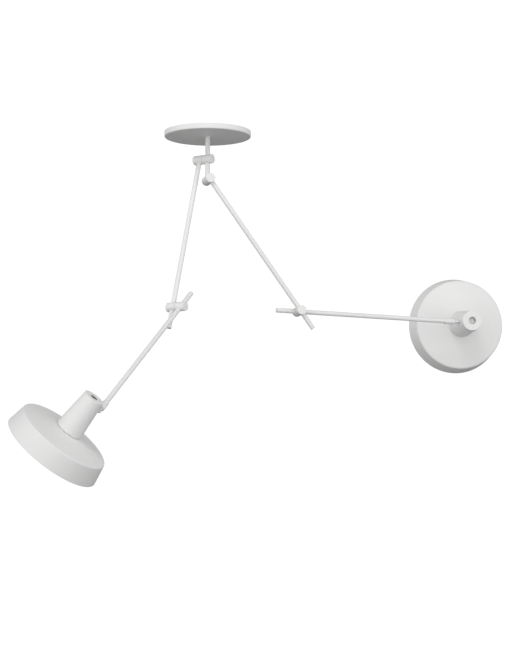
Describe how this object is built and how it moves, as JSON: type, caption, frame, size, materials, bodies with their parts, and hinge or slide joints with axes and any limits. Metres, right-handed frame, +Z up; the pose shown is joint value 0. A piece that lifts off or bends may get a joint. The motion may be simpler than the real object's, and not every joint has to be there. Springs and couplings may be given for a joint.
{
  "type": "two-arm ceiling lamp",
  "caption": "White ceiling lamp with a flat round canopy, a short stem and jointed arms, each ending in a swivelling drum-shaped metal shade with a tapered neck.",
  "frame": {"origin": "on the ceiling, at the middle of the ceiling strap's top face", "axes": "+Z up, away from the room; +X to the right and +Y away from a viewer who faces the lamp"},
  "size_m": [1.1161, 0.7229, 0.8341],
  "materials": {
    "white_paint": "matte",
    "bright_steel": "satin",
    "zinc_steel": "satin",
    "nylon": "matte",
    "white_plastic": "satin",
    "cap_metal": "satin",
    "opal_bulb": "satin"
  },
  "bodies": {
    "ceiling_mount": {"ceiling_strap": "zinc_steel", "canopy": "white_paint", "canopy_screw_left": "bright_steel", "canopy_screw_right": "bright_steel", "terminal_block": "nylon", "stem": "white_paint", "stem_nut": "zinc_steel"},
    "left_knuckle": {"left_shoulder_stem_half": "white_paint", "left_shoulder_stem_half_screw": "bright_steel", "left_shoulder_rivet": "bright_steel", "left_shoulder_washer": "nylon"},
    "left_upper_arm": {"left_shoulder_arm_half": "white_paint", "left_shoulder_arm_half_screw": "bright_steel", "left_upper_rod": "white_paint", "left_upper_rod_cap": "white_paint", "left_elbow_upper_half": "white_paint", "left_elbow_upper_half_screw": "bright_steel", "left_elbow_rivet": "bright_steel", "left_elbow_washer": "nylon"},
    "left_forearm": {"left_elbow_fore_half": "white_paint", "left_elbow_fore_half_screw": "bright_steel", "left_forearm_rod": "white_paint", "left_forearm_rod_cap": "white_paint"},
    "left_sleeve": {"left_swivel_sleeve": "white_paint", "left_swivel_pin": "bright_steel"},
    "left_tongue": {"left_swivel_tongue": "white_paint", "left_swivel_nut": "zinc_steel"},
    "left_shade_head": {"left_neck": "white_paint", "left_shade": "white_paint", "left_shade_ring": "white_plastic", "left_lampholder": "white_plastic", "left_bulb_cap": "cap_metal", "left_bulb": "opal_bulb"},
    "right_knuckle": {"right_shoulder_stem_half": "white_paint", "right_shoulder_stem_half_screw": "bright_steel", "right_shoulder_rivet": "bright_steel", "right_shoulder_washer": "nylon"},
    "right_upper_arm": {"right_shoulder_arm_half": "white_paint", "right_shoulder_arm_half_screw": "bright_steel", "right_upper_rod": "white_paint", "right_upper_rod_cap": "white_paint", "right_elbow_upper_half": "white_paint", "right_elbow_upper_half_screw": "bright_steel", "right_elbow_rivet": "bright_steel", "right_elbow_washer": "nylon"},
    "right_forearm": {"right_elbow_fore_half": "white_paint", "right_elbow_fore_half_screw": "bright_steel", "right_forearm_rod": "white_paint", "right_forearm_rod_cap": "white_paint"},
    "right_sleeve": {"right_swivel_sleeve": "white_paint", "right_swivel_pin": "bright_steel"},
    "right_tongue": {"right_swivel_tongue": "white_paint", "right_swivel_nut": "zinc_steel"},
    "right_shade_head": {"right_neck": "white_paint", "right_shade": "white_paint", "right_shade_ring": "white_plastic", "right_lampholder": "white_plastic", "right_bulb_cap": "cap_metal", "right_bulb": "opal_bulb"}
  },
  "joints": [
    {"name": "left_arm_turn", "type": "hinge", "parent": "ceiling_mount", "child": "left_knuckle", "pos_m": [0, 0, -0.0645], "axis": [0, 0, 1], "range_deg": [-150, 50]},
    {"name": "left_shoulder", "type": "hinge", "parent": "left_knuckle", "child": "left_upper_arm", "pos_m": [-0.00938, 0.0063, -0.0645], "axis": [-0.83, 0.5577, 0], "range_deg": [-108.2, 75.8]},
    {"name": "left_elbow", "type": "hinge", "parent": "left_upper_arm", "child": "left_forearm", "pos_m": [-0.06664, -0.07891, -0.41789], "axis": [-0.83, 0.5577, 0], "range_deg": [-167.8, 102.2]},
    {"name": "left_sleeve_swivel", "type": "hinge", "parent": "left_forearm", "child": "left_sleeve", "pos_m": [-0.22042, -0.32802, -0.67218], "axis": [0.4209, 0.6264, 0.6561], "range_deg": [-154.7, 185.3]},
    {"name": "left_shade_tilt", "type": "hinge", "parent": "left_sleeve", "child": "left_tongue", "pos_m": [-0.22042, -0.32802, -0.67218], "axis": [-0.704, 0.6817, -0.1991], "range_deg": [-137.2, 12.8]},
    {"name": "left_shade_turn", "type": "hinge", "parent": "left_tongue", "child": "left_shade_head", "pos_m": [-0.22042, -0.32802, -0.67218], "axis": [0.7023, 0.6266, -0.338], "range_deg": [-175.4, 74.6]},
    {"name": "right_arm_turn", "type": "hinge", "parent": "ceiling_mount", "child": "right_knuckle", "pos_m": [0, 0, -0.114], "axis": [0, 0, 1], "range_deg": [-50, 150]},
    {"name": "right_shoulder", "type": "hinge", "parent": "right_knuckle", "child": "right_upper_arm", "pos_m": [0.00269, -0.01097, -0.114], "axis": [0.2385, -0.9711, 0], "range_deg": [-45, 56.2]},
    {"name": "right_elbow", "type": "hinge", "parent": "right_upper_arm", "child": "right_forearm", "pos_m": [0.21175, 0.04037, -0.41247], "axis": [0.2385, -0.9711, 0], "range_deg": [-187.3, 82.7]},
    {"name": "right_sleeve_swivel", "type": "hinge", "parent": "right_forearm", "child": "right_sleeve", "pos_m": [0.58525, 0.14375, -0.42532], "axis": [-0.9706, -0.2384, 0.0332], "range_deg": [-136.6, 203.4]},
    {"name": "right_shade_tilt", "type": "hinge", "parent": "right_sleeve", "child": "right_tongue", "pos_m": [0.58525, 0.14375, -0.42532], "axis": [0.1814, -0.8151, -0.5502], "range_deg": [-80.7, 69.3]},
    {"name": "right_shade_turn", "type": "hinge", "parent": "right_tongue", "child": "right_shade_head", "pos_m": [0.58525, 0.14375, -0.42532], "axis": [-0.9815, -0.1848, -0.0499], "range_deg": [-67.1, 182.9]}
  ]
}
